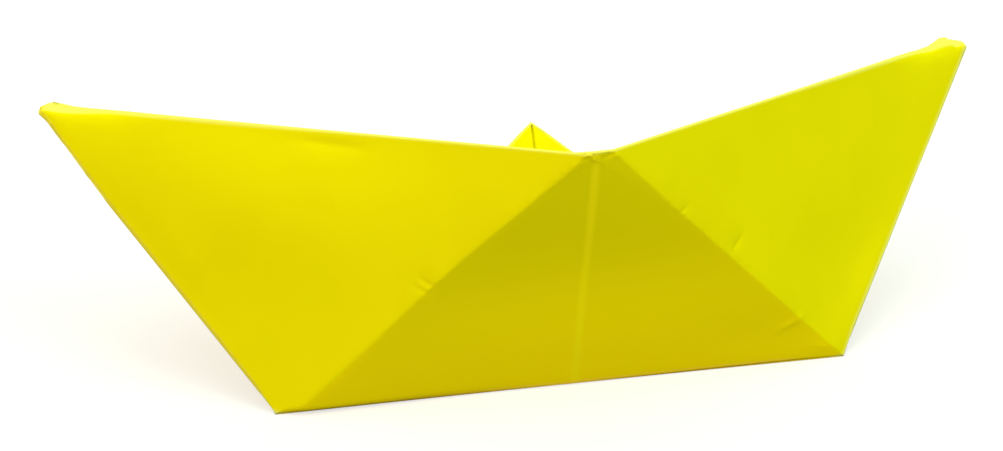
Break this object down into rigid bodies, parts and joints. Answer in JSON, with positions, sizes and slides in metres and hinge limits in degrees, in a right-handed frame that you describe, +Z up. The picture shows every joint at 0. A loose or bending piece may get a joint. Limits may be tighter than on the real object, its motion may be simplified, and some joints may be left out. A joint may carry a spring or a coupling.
{
  "type": "folded paper boat",
  "caption": "Origami sailboat folded from a rectangular sheet of bright yellow paper, with an open hull, raised pointed ends and a triangular sail standing inside it.",
  "frame": {"origin": "on the surface that the boat rests on, under the middle of its bounding box", "axes": "+X along the keel from the left tip in the picture to the right one, -Y towards the viewer, +Z up"},
  "size_m": [0.1806, 0.0632, 0.0505],
  "materials": {
    "yellow_paper": "matte uncoated coloured paper, dyed through, with pressed creases and slight wrinkles"
  },
  "bodies": {
    "root": {"paper_boat": "yellow_paper"}
  },
  "joints": []
}
